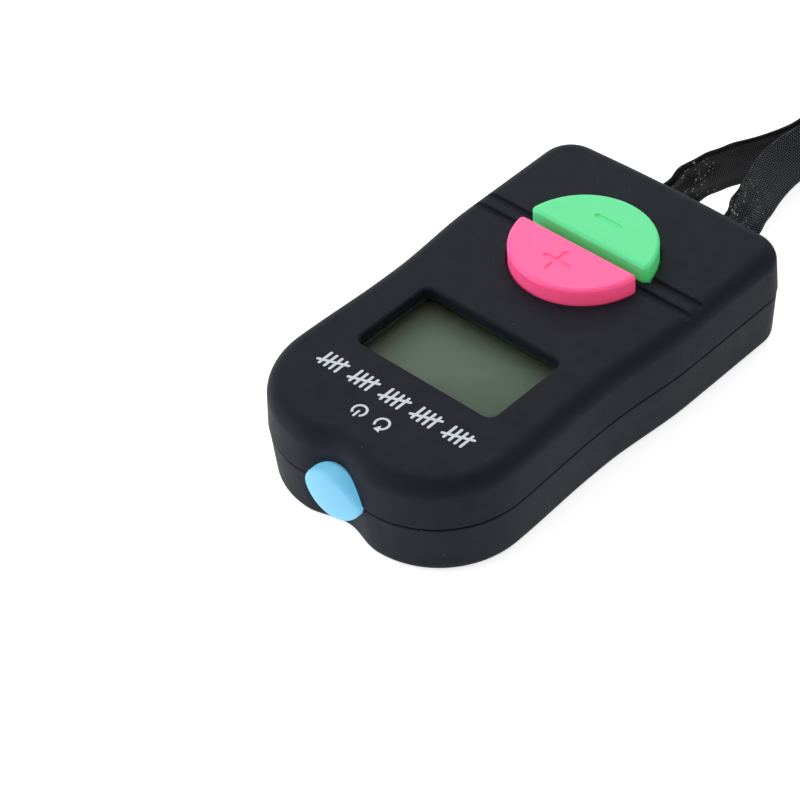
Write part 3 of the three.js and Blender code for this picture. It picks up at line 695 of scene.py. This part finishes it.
def make_tie(number, x0, x1):
    """A flat band round one side of the hank, with its loose end lapped over the top."""
    slack, skin, half_width = 0.45, 0.22, 1.5
    low, high = RIBBON_FLOOR - 0.04, RIBBON_FLOOR + RIBBON_WIDTH + 0.04
    wide, tall = x1 - x0 + 2 * slack, high - low
    middle_x, middle_z = (x0 + x1) / 2, (low + high) / 2
    inner = rounded_rectangle(middle_x, middle_z, wide, tall, 0.4)
    outer = offset(inner, -skin)
    near, far = TIE_Y - half_width, TIE_Y + half_width
    edges = [(inner, near), (outer, near), (outer, far), (inner, far)]
    points, faces = loft([[(x, y, z) for x, z in outline] for outline, y in edges])
    count = len(inner)
    faces = faces[:-2]
    for i in range(count):
        j = (i + 1) % count
        faces.append((3 * count + i, 3 * count + j, j, i))
    lap = box_body(middle_x - wide * 0.3, middle_x + wide * 0.42, TIE_Y - half_width * 0.9,
                   TIE_Y + half_width * 0.9, high + skin, high + skin + 0.2)
    tie = mesh_object(f"ribbon_tie_{number}", *combine((points, faces), lap), 40)
    paint(tie, BLACK_PLASTIC)
    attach(tie, "case")
    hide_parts(f"lanyard_tie_{number}")
    return tie


def make_ribbon():
    start, free, end = ribbon_route()
    curve = hermite(start + free + end, 0.8)
    section = ribbon_section()
    count = len(section)
    points, ribs, lengths = [], [], [0.0]
    for a, b in zip(curve, curve[1:]):
        lengths.append(lengths[-1] + Vector((b - a)[:3]).length)
    total = lengths[-1]
    for i, p in enumerate(curve):
        ahead = curve[min(i + 1, len(curve) - 1)] - curve[max(i - 1, 0)]
        along = Vector(ahead[:3]).normalized()
        level = Vector((along.y, -along.x, 0)).normalized()
        tilt = math.tan(math.radians(p[3])) * (1 if level.x > 0 else -1)
        up = (Vector((0, 0, 1)) + level * tilt).normalized()
        across = along.cross(up).normalized()
        up = across.cross(along).normalized()
        from_slot = min(lengths[i], total - lengths[i]) - 4.5
        seed = 0.0 if lengths[i] < total / 2 else 2.3
        gathered = 1 - 0.3 * math.exp(-(max(0.0, from_slot) / 4.5) ** 2)
        for u, v in section:
            shift = v + (crease(from_slot, u, seed) if from_slot > 1.5 else 0.0)
            points.append(Vector(p[:3]) + up * u * gathered + across * shift)
            ribs.append((u + (RIBBON_OUTSIDE if v < 0 else 0.0), from_slot))
    faces = []
    for k in range(len(curve) - 1):
        for i in range(count):
            j = (i + 1) % count
            faces.append((k * count + i, (k + 1) * count + i, (k + 1) * count + j, k * count + j))
    faces.append(tuple(range(count)))
    last = (len(curve) - 1) * count
    faces.append(tuple(reversed(range(last, last + count))))
    ribbon = mesh_object("neck_ribbon", points, faces, 60)
    layer = ribbon.data.uv_layers.new(name="weave")
    for loop in ribbon.data.loops:
        layer.data[loop.index].uv = ribs[loop.vertex_index]
    paint(ribbon, SATIN)
    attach(ribbon, "case")
    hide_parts("lanyard_ribbon", "lanyard_bight", "lanyard_hank")
    right = HANK_LEFT + 2 * HANK_RADIUS
    ties = [make_tie(1, HANK_LEFT, HANK_LEFT + 3 * STRAND_PITCH), make_tie(2, right - STRAND_PITCH, right)]


make_ribbon()


# ---------------------------------------------------------------- outline of the case

def smoothstep(value, low, high):
    t = min(1.0, max(0.0, (value - low) / (high - low)))
    return t * t * (3 - 2 * t)


def case_half_width(y):
    lobe = LOBE_X + LOBE_RADIUS
    return lobe + (WAIST - lobe) * smoothstep(y, LOBE_Y, -5) + (SHOULDER - WAIST) * smoothstep(y, -3, 11)


def case_outline():
    """Plan of the case, anticlockwise from the valley: two lobes, a slim waist and square shoulders."""
    valley_steps, lobe_steps, side_steps, corner_steps = 14, 34, 34, 14
    half = []
    for i in range(valley_steps):
        x = LOBE_X * i / valley_steps
        half.append((x, VALLEY_DEPTH * (1 + math.cos(math.pi * x / LOBE_X)) / 2 - HALF_LENGTH))
    half += arc(LOBE_X, LOBE_Y, LOBE_RADIUS, -math.pi / 2, 0, lobe_steps)
    corner_y = HALF_LENGTH - END_BOW - CORNER_RADIUS
    for i in range(1, side_steps):
        y = LOBE_Y + (corner_y - LOBE_Y) * i / side_steps
        half.append((case_half_width(y), y))
    corner_x = SHOULDER - CORNER_RADIUS
    half += arc(corner_x, corner_y, CORNER_RADIUS, 0, math.pi / 2, corner_steps)
    for part in (0.8, 0.6, 0.4, 0.2):
        half.append((corner_x * part, HALF_LENGTH - END_BOW * part * part))
    half.append((0.0, HALF_LENGTH))
    return half + [(-x, y) for x, y in reversed(half[1:-1])]


OUTLINE = case_outline()


def quarter_round(inset, radius, edge_z, direction, steps):
    """Levels (inset, z) of a rounded edge, turned up for direction 1 and down for -1."""
    levels = []
    for i in range(steps + 1):
        angle = math.pi / 2 * i / steps
        height = edge_z - direction * radius * (1 - math.sin(angle))
        levels.append((inset + radius * (1 - math.cos(angle)), height))
    return levels


def flare(z, depth, spread, steps=4):
    """Levels of a cutter that leaves a rounded lip: nothing at z - depth, spread at z, and straight above."""
    levels = []
    for i in range(steps + 1):
        angle = math.pi / 2 * i / steps
        levels.append((-spread * (1 - math.cos(angle)), z - depth * (1 - math.sin(angle))))
    return levels + [(-spread, z + 1)]


# ---------------------------------------------------------------- shared openings

def half_disc(radius, side, edge, corner, steps=40):
    """Half-moon outline about the keys' centre, with its straight edge off the middle and rounded corners."""
    reach = radius - corner
    height = edge + corner
    cx = math.sqrt(reach ** 2 - height ** 2)
    corner_angle = math.atan2(height, cx)
    points = arc(cx, height, corner, -math.pi / 2, corner_angle, 6)
    points += arc(0, 0, radius, corner_angle, math.pi - corner_angle, steps)[1:-1]
    points += arc(-cx, height, corner, math.pi - corner_angle, 1.5 * math.pi, 6)
    return [(side * x, DISC_Y + side * y) for x, y in points]


def lens(half_width, half_height, corner, steps=30):
    """Anticlockwise outline of two arcs that meet in rounded corners at the left and the right."""
    width, height = half_width - corner, half_height - corner
    radius = (width ** 2 + height ** 2) / (2 * height)
    sink = radius - height
    tilt = math.atan2(sink, width)
    upper = arc(0, -sink, radius + corner, tilt, math.pi - tilt, steps)
    left = arc(-width, 0, corner, math.pi - tilt, math.pi + tilt, 10)[1:-1]
    return upper + left + [(-x, -z) for x, z in upper + left]


def reset_outline(grow, corner):
    """Outline of the reset key in the XZ plane, grown by some mm."""
    return [(x, RESET_Z + z) for x, z in lens(RESET_HALF_WIDTH + grow, RESET_HALF_HEIGHT + grow, corner)]


def along_y(outline, levels):
    """A body whose rings are an XZ outline at depths y, from the front to the back: (inset, y) levels."""
    return loft([[(x, y, z) for x, z in offset(outline, inset)] for inset, y in levels])


def reset_opening():
    """Cutter for the eye-shaped opening in the end wall, sharper in its corners than the key."""
    return along_y(reset_outline(0.4, 2.4), [(0, -34), (0, -24)])


def ribbon_slots():
    bodies = []
    for side in (-1, 1):
        outline = rounded_rectangle(side * SLOT_X, RIBBON_Z, 2.4, RIBBON_WIDTH + 0.5, 0.5)
        bodies.append(along_y(outline, [(0, HALF_LENGTH - WALL - 1.5), (0, HALF_LENGTH + 2)]))
    return combine(*bodies)


def posts(places, radius, z0, z1):
    return combine(*(post_body(x, y, radius, z0, z1) for x, y in places))


# ---------------------------------------------------------------- case shells

def groove_cutter(y):
    """A bar across the case that leaves a soft-edged groove."""
    half_width, depth = 0.55, 0.42
    profile = [(-half_width - 0.35, 1.0), (-half_width - 0.12, 0.02), (-half_width + 0.02, -0.1)]
    profile += [(-half_width + 0.1, -depth + 0.06), (-half_width + 0.2, -depth)]
    profile += [(-u, v) for u, v in reversed(profile)]
    ends = (-SHOULDER - 1, SHOULDER + 1)
    return loft([[(x, y + u, TOP_Z + v) for u, v in profile] for x in ends])


def window_cutter():
    inner = rounded_rectangle(0, DISPLAY_Y, WINDOW_X, WINDOW_Y, 1.1, 10)
    return prism(inner, [(0, TOP_Z - ROOF - 1)] + flare(TOP_Z, 0.4, WINDOW_BEVEL, 6))


def key_well(side):
    outline = half_disc(DISC_RADIUS + 0.15, side, BAR_HALF_WIDTH - 0.15, 0.75)
    return prism(outline, [(0, TOP_Z - ROOF - 1)] + flare(TOP_Z, 0.25, 0.18))


def make_upper_case():
    draft, fillet = 0.2, 2.2
    rim = PARTING_Z + PARTING_GAP
    outside = [(0.16, rim), (0.04, rim + 0.08), (0.0, PARTING_Z + 0.4)]
    outside += quarter_round(draft, fillet, TOP_Z, 1, 12)
    case = mesh_object("upper_shell", *prism(OUTLINE, outside))
    rebate, rebate_top = 0.85, PARTING_Z + 1.1
    hollow = [(rebate, PARTING_Z - 1), (rebate, rebate_top), (WALL, rebate_top + 0.4),
              (WALL + 0.2, TOP_Z - ROOF - 0.8), (WALL + 1.0, TOP_Z - ROOF)]
    boolean(case, prism(OUTLINE, hollow), "DIFFERENCE")
    boss_top = TOP_Z - ROOF + 0.3
    bosses = combine(posts(CASE_SCREWS, 2.5, PARTING_Z + 0.1, boss_top),
                     posts(BOARD_SCREWS, 2.0, 8.5, boss_top))
    boolean(case, bosses, "UNION")
    holes = combine(posts(CASE_SCREWS, 1.15, PARTING_Z - 1, boss_top - 0.7),
                    posts(BOARD_SCREWS, 0.95, 7.4, boss_top - 0.7))
    boolean(case, holes, "DIFFERENCE")
    boolean(case, window_cutter(), "DIFFERENCE")
    boolean(case, combine(key_well(1), key_well(-1)), "DIFFERENCE")
    for y in GROOVES:
        boolean(case, groove_cutter(y), "DIFFERENCE")
    boolean(case, reset_opening(), "DIFFERENCE")
    boolean(case, ribbon_slots(), "DIFFERENCE")
    finish_shell(case, "upper_case")


def finish_shell(case, node):
    clean(case)
    smooth(case, 32)
    weigh_normals(case)
    paint(case, SOFT_TOUCH)
    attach(case, "case")
    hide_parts(node)


def make_lower_case():
    draft, edge = 0.45, 1.3
    outside = quarter_round(draft, edge, 0, -1, 8)[::-1]
    rim = PARTING_Z - PARTING_GAP
    outside += [(0.1, PARTING_Z - 0.4), (0.12, rim - 0.08), (0.22, rim)]
    case = mesh_object("lower_shell", *prism(OUTLINE, outside))
    hollow = [(WALL + 0.8, FLOOR), (WALL + 0.2, FLOOR + 0.8), (WALL, PARTING_Z + 1)]
    boolean(case, prism(OUTLINE, hollow), "DIFFERENCE")
    tongue = mesh_object("tongue", *prism(OUTLINE, [(1.0, PARTING_Z - 1.5), (1.0, PARTING_Z + 0.85)]))
    inside = [(WALL + 0.05, PARTING_Z - 2), (WALL + 0.05, PARTING_Z + 2)]
    boolean(tongue, prism(OUTLINE, inside), "DIFFERENCE")
    boolean_with(case, tongue, "UNION")
    boolean(case, posts(CASE_SCREWS, 2.9, FLOOR - 0.3, PARTING_Z - 0.1), "UNION")
    counterbore = combine(*(
        prism(circle(x, y, 2.1), [(-0.2, -1), (-0.2, 0), (0, 0.2), (0, 2.6)]) for x, y in CASE_SCREWS
    ))
    boolean(case, counterbore, "DIFFERENCE")
    boolean(case, posts(CASE_SCREWS, 1.15, -1, PARTING_Z + 1), "DIFFERENCE")
    ring = mesh_object("cell_ring", *post_body(0, CELL_Y, 10.2, FLOOR - 0.3, 6.4, 72))
    boolean(ring, post_body(0, CELL_Y, 9.2, FLOOR - 1, 7.4, 72), "DIFFERENCE")
    boolean_with(case, ring, "UNION")
    hole_levels = [(-0.25, -1), (-0.25, 0), (0, 0.25), (0, FLOOR + 0.5)]
    boolean(case, prism(circle(0, CELL_Y, CAP_RADIUS + 0.15, 96), hole_levels), "DIFFERENCE")
    boolean(case, box_body(-9.5, 9.5, 23.4, 24.4, FLOOR - 0.3, PARTING_Z - 0.3), "UNION")
    boolean(case, reset_opening(), "DIFFERENCE")
    boolean(case, ribbon_slots(), "DIFFERENCE")
    finish_shell(case, "lower_case")


make_upper_case()
make_lower_case()


# ---------------------------------------------------------------- keys

def sign_cutter(y, crossed):
    """Cutter for a key's minus or plus sign, with a soft lip and a rounded floor."""
    half_length, half_width, depth = 2.0, 0.36, 0.22
    arms = []
    for k in range(4):
        if k % 2 and not crossed:
            continue
        cosine, sine = math.cos(k * math.pi / 2), math.sin(k * math.pi / 2)
        arm = arc(half_length - half_width, 0, half_width, -math.pi / 2, math.pi / 2, 8)
        if crossed:
            arm = [(half_width, -half_width)] + arm
        arms += [(x * cosine - z * sine, x * sine + z * cosine) for x, z in arm]
    outline = [(x, y + z) for x, z in arms]
    levels = [(0.16, KEY_TOP - depth), (0.08, KEY_TOP - depth * 0.8)] + flare(KEY_TOP, depth * 0.75, 0.16)
    return prism(outline, levels)


def make_key(name, side, crossed, body, material):
    rounding = 0.5
    outline = half_disc(DISC_RADIUS, side, BAR_HALF_WIDTH, 0.62)
    levels = [(0, KEY_FOOT + 0.2), (0, KEY_TOP - 2.0)] + quarter_round(0, rounding, KEY_TOP, 1, 8)
    key = mesh_object(name, *prism(outline, levels))
    flange = half_disc(DISC_RADIUS + 0.9, side, BAR_HALF_WIDTH - 0.2, 0.3)
    boolean(key, prism(flange, [(0, KEY_FOOT), (0, TOP_Z - ROOF - 0.2)]), "UNION")
    hollow = half_disc(DISC_RADIUS - 1.3, side, BAR_HALF_WIDTH + 1.2, 0.3)
    boolean(key, prism(hollow, [(0, KEY_FOOT - 1), (0, KEY_TOP - 1.3)]), "DIFFERENCE")
    y = DISC_Y + side * SYMBOL_OFFSET
    boolean(key, post_body(0, y, 1.7, KEY_FOOT, KEY_TOP - 1), "UNION")
    boolean(key, sign_cutter(y, crossed), "DIFFERENCE")
    clean(key)
    smooth(key, 35)
    weigh_normals(key)
    paint(key, material)
    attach(key, body)
    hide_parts(name.replace("_key", "_button"))


def make_reset_key():
    """Lens-shaped key: a straight wall, a rounded edge and a front that bulges outwards."""
    crown_x, crown_z, rounding = 0.7, 0.48, 0.5
    wall_back = -HALF_LENGTH + VALLEY_DEPTH + WALL - 0.4

    def ring(inset, depth, share=1.0):
        outline = offset(lens(RESET_HALF_WIDTH, RESET_HALF_HEIGHT, RESET_CORNER), inset)
        points = []
        for x, z in outline:
            x, z = x * share, z * share
            bulge = crown_x * (x / RESET_HALF_WIDTH) ** 2 + crown_z * (z / RESET_HALF_HEIGHT) ** 2
            points.append((x, RESET_FRONT + bulge + depth, RESET_Z + z))
        return points

    rings = [[(x, wall_back, z) for x, _, z in ring(0, 0)]]
    steps = 8
    for i in range(steps + 1):
        angle = math.pi / 2 * i / steps
        rings.append(ring(rounding * (1 - math.cos(angle)), rounding * (1 - math.sin(angle))))
    for share in (0.85, 0.7, 0.55, 0.4, 0.25, 0.1):
        rings.append(ring(rounding, 0, share))
    key = mesh_object("reset_key", *loft(rings))
    flange_front = -HALF_LENGTH + VALLEY_DEPTH + WALL + 0.15
    flange_outline = reset_outline(0.75, RESET_CORNER)
    flange = along_y(flange_outline, [(0, flange_front), (0, flange_front + 1)])
    neck_outline = reset_outline(-0.4, 0.5)
    neck = along_y(neck_outline, [(0, wall_back - 0.5), (0, flange_front + 0.5)])
    boolean(key, neck, "UNION")
    boolean(key, flange, "UNION")
    clean(key)
    smooth(key, 45)
    for vertex in key.data.vertices:
        vertex.co.x += RESET_PLAY * MM
    paint(key, BLUE)
    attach(key, "reset_key")
    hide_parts("reset_button")


make_key("minus_key", 1, False, "minus_key", GREEN)
make_key("plus_key", -1, True, "plus_key", PINK)
make_reset_key()


# ---------------------------------------------------------------- printed marks

PRINT_LOW = TOP_Z + 0.004
PRINT_HIGH = TOP_Z + 0.03


def bar(x0, y0, x1, y1, width, lift=0.0):
    """A printed stroke from one point to another, with round ends; lift keeps crossing strokes apart."""
    length = math.hypot(x1 - x0, y1 - y0)
    ux, uy = (x1 - x0) / length, (y1 - y0) / length
    outline = rounded_rectangle(0, 0, length + width, width, width / 2 - 0.005, 5)
    cx, cy = (x0 + x1) / 2, (y0 + y1) / 2
    turned = [(cx + x * ux - y * uy, cy + x * uy + y * ux) for x, y in outline]
    return prism(turned, [(0, PRINT_LOW + lift), (0, PRINT_HIGH + lift)])


def ring_mark(cx, cy, radius, width, start, end, steps=36):
    """A printed arc."""
    outside = arc(cx, cy, radius + width / 2, start, end, steps)
    inside = arc(cx, cy, radius - width / 2, end, start, steps)
    return loft([[(x, y, z) for x, y in outside + inside] for z in (PRINT_LOW, PRINT_HIGH)])


def tally_strokes():
    """Five bundles of five strokes, as counts are kept by hand."""
    height, width, step, bundle, row_y = 2.0, 0.36, 0.82, 4.75, -19.55
    bodies = []
    for group in range(5):
        x = -9.5 + group * bundle
        for k in range(4):
            at = x + (k - 1.5) * step
            bodies.append(bar(at, row_y - height / 2, at, row_y + height / 2, width))
        bodies.append(bar(x - 1.8, row_y - height * 0.32, x + 1.8, row_y + height * 0.32, width, 0.01))
    return combine(*bodies)


def power_mark(cx, cy):
    radius, width = 0.85, 0.3
    top = -math.pi / 2
    circle_part = ring_mark(cx, cy, radius, width, top + 0.65, top + TURN - 0.65)
    return combine(circle_part, bar(cx, cy - radius * 1.15, cx, cy - 0.1, width))


def restart_mark(cx, cy):
    """An open circle that ends in an arrowhead."""
    radius, width = 0.85, 0.3
    start, end = -0.35 * math.pi, 1.25 * math.pi
    tip_x, tip_y = cx + radius * math.cos(start), cy + radius * math.sin(start)
    out_x, out_y = math.cos(start), math.sin(start)
    back_x, back_y = out_y, -out_x
    head = [
        (tip_x + out_x * 0.55, tip_y + out_y * 0.55),
        (tip_x - out_x * 0.55, tip_y - out_y * 0.55),
        (tip_x + back_x * 0.75, tip_y + back_y * 0.75),
    ]
    area = sum(a[0] * b[1] - b[0] * a[1] for a, b in zip(head, head[1:] + head[:1]))
    head = head if area > 0 else head[::-1]
    arrow = loft([[(x, y, z) for x, y in head] for z in (PRINT_LOW, PRINT_HIGH)])
    return combine(ring_mark(cx, cy, radius, width, start, end), arrow)


def make_print():
    for name, body in (
        ("tally_print", tally_strokes()),
        ("power_print", power_mark(-1.7, -23.4)),
        ("restart_print", restart_mark(1.7, -23.4)),
    ):
        mark = mesh_object(name, *body, 20)
        paint(mark, PRINT)
        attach(mark, "case")


make_print()


# ---------------------------------------------------------------- underside

def make_battery_cap():
    low = 0.1
    face = [(0.3, low), (0.08, low + 0.1), (0, low + 0.3), (0, FLOOR - 0.02)]
    cap = mesh_object("cell_cap", *prism(circle(0, CELL_Y, CAP_RADIUS, 96), face))
    collar = mesh_object("collar", *post_body(0, CELL_Y, CAP_RADIUS - 0.01, FLOOR - 0.3, 2.45, 96))
    boolean(collar, post_body(0, CELL_Y, 6.15, FLOOR - 1, 3.4, 96), "DIFFERENCE")
    boolean_with(cap, collar, "UNION")
    coin_slot = rounded_rectangle(0, CELL_Y, 9.0, 1.4, 0.68, 8)
    boolean(cap, prism(coin_slot, [(-0.2, -1), (-0.2, low), (0, low + 0.2), (0, 0.8)]), "DIFFERENCE")
    clean(cap)
    smooth(cap, 35)
    weigh_normals(cap)
    paint(cap, BLACK_PLASTIC)
    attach(cap, "cell_cap")
    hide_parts("battery_cap")


def make_case_screw(index, x, y):
    """Pan-head screw, seen from below, with a cross recess that tapers inwards."""
    head_z, radius, height = 1.3, 1.9, 1.25
    crown = [(0.55, 0), (0.22, 0.08), (0.05, 0.3), (0, 0.6), (0, height)]
    levels = [(inset, head_z + rise) for inset, rise in crown]
    screw = mesh_object(f"screw_{index}", *prism(circle(x, y, radius, 56), levels))
    boolean(screw, post_body(x, y, 1.05, head_z + 0.8, 11.2, 32), "UNION")
    recess = [(-0.05, head_z - 1), (0, head_z + 0.2), (0.12, head_z + 0.75)]
    for size in ((2.3, 0.42), (0.42, 2.3)):
        boolean(screw, prism(rounded_rectangle(x, y, *size, 0.1, 3), recess), "DIFFERENCE")
    clean(screw)
    smooth(screw, 35)
    paint(screw, STEEL)
    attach(screw, "case")
    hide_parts(f"case_screw_{index}")


make_battery_cap()
for number, (screw_x, screw_y) in enumerate(CASE_SCREWS, 1):
    make_case_screw(number, screw_x, screw_y)


# ---------------------------------------------------------------- finishes of the CAD nodes that stay

NODE_FINISHES = {
    "circuit_board": BOARD,
    "lcd_holder": WHITE_PLASTIC,
    "lcd_panel": GLASS,
    "lcd_polariser": FILM,
    "lcd_reflector": REFLECTOR_PAINTED_SHADE,
    "zebra_strip": ZEBRA,
    "reset_switch_body": BLACK_PLASTIC,
    "reset_switch_plunger": WHITE_PLASTIC,
    "controller_chip": EPOXY,
    "crystal": STEEL,
    "capacitor": CERAMIC,
    "resistor": BLACK_PLASTIC,
    "button_cell": CELL_STEEL,
    "negative_contact": BRASS,
    "positive_contact": BRASS,
}
for label in ("plus", "minus"):
    NODE_FINISHES[f"{label}_switch_body"] = BLACK_PLASTIC
    NODE_FINISHES[f"{label}_switch_cover"] = STEEL
    NODE_FINISHES[f"{label}_switch_plunger"] = BLACK_PLASTIC
    NODE_FINISHES[f"{label}_switch_dome"] = STEEL
for number in range(1, 5):
    NODE_FINISHES[f"board_screw_{number}"] = STEEL

for node_name, finish in NODE_FINISHES.items():
    paint_node(node_name, finish)
    smooth(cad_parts[node_name], 30)


# ---------------------------------------------------------------- floor and light

def make_floor():
    half, level = 3000.0, -0.05
    corners = [(-half, -half, level), (half, -half, level), (half, half, level), (-half, half, level)]
    ground = mesh_object("floor", corners, [(0, 1, 2, 3)])
    material, shader = new_material("floor_white")
    mottle = noise(material, 0.002)
    ramp(material, mottle, [(0.3, grey(0.84)), (0.7, grey(0.86))], shader.inputs["Base Color"])
    shader.inputs["Roughness"].default_value = 0.9
    shader.inputs["Specular IOR Level"].default_value = 0.0
    shader.inputs["Emission Color"].default_value = grey(1.0)
    shader.inputs["Emission Strength"].default_value = 0.72
    paint(ground, material)


def area_light(name, place_mm, aim_mm, size_mm, radiance):
    """A soft rectangular light; its power follows from its size and how bright its face is."""
    data = bpy.data.lights.new(name, "AREA")
    data.shape = "RECTANGLE"
    data.size, data.size_y = size_mm[0] * MM, size_mm[1] * MM
    data.energy = radiance * math.pi * data.size * data.size_y
    light = bpy.data.objects.new(name, data)
    bpy.context.scene.collection.objects.link(light)
    light.location = place(place_mm)
    light.rotation_euler = (place(aim_mm) - place(place_mm)).to_track_quat("-Z", "Y").to_euler()


def make_world(strength):
    world = bpy.data.worlds.new("studio")
    world.use_nodes = True
    background = world.node_tree.nodes["Background"]
    background.inputs["Color"].default_value = (1.0, 1.0, 1.0, 1.0)
    background.inputs["Strength"].default_value = strength
    bpy.context.scene.world = world


bpy.context.scene.view_settings.view_transform = "Standard"
make_floor()
make_world(0.5)
area_light("overhead", (-260, 300, 420), (0, 0, 0), (600, 600), 1.35)
area_light("left_front", (-400, -360, 200), (0, 0, 5), (400, 400), 2.7)
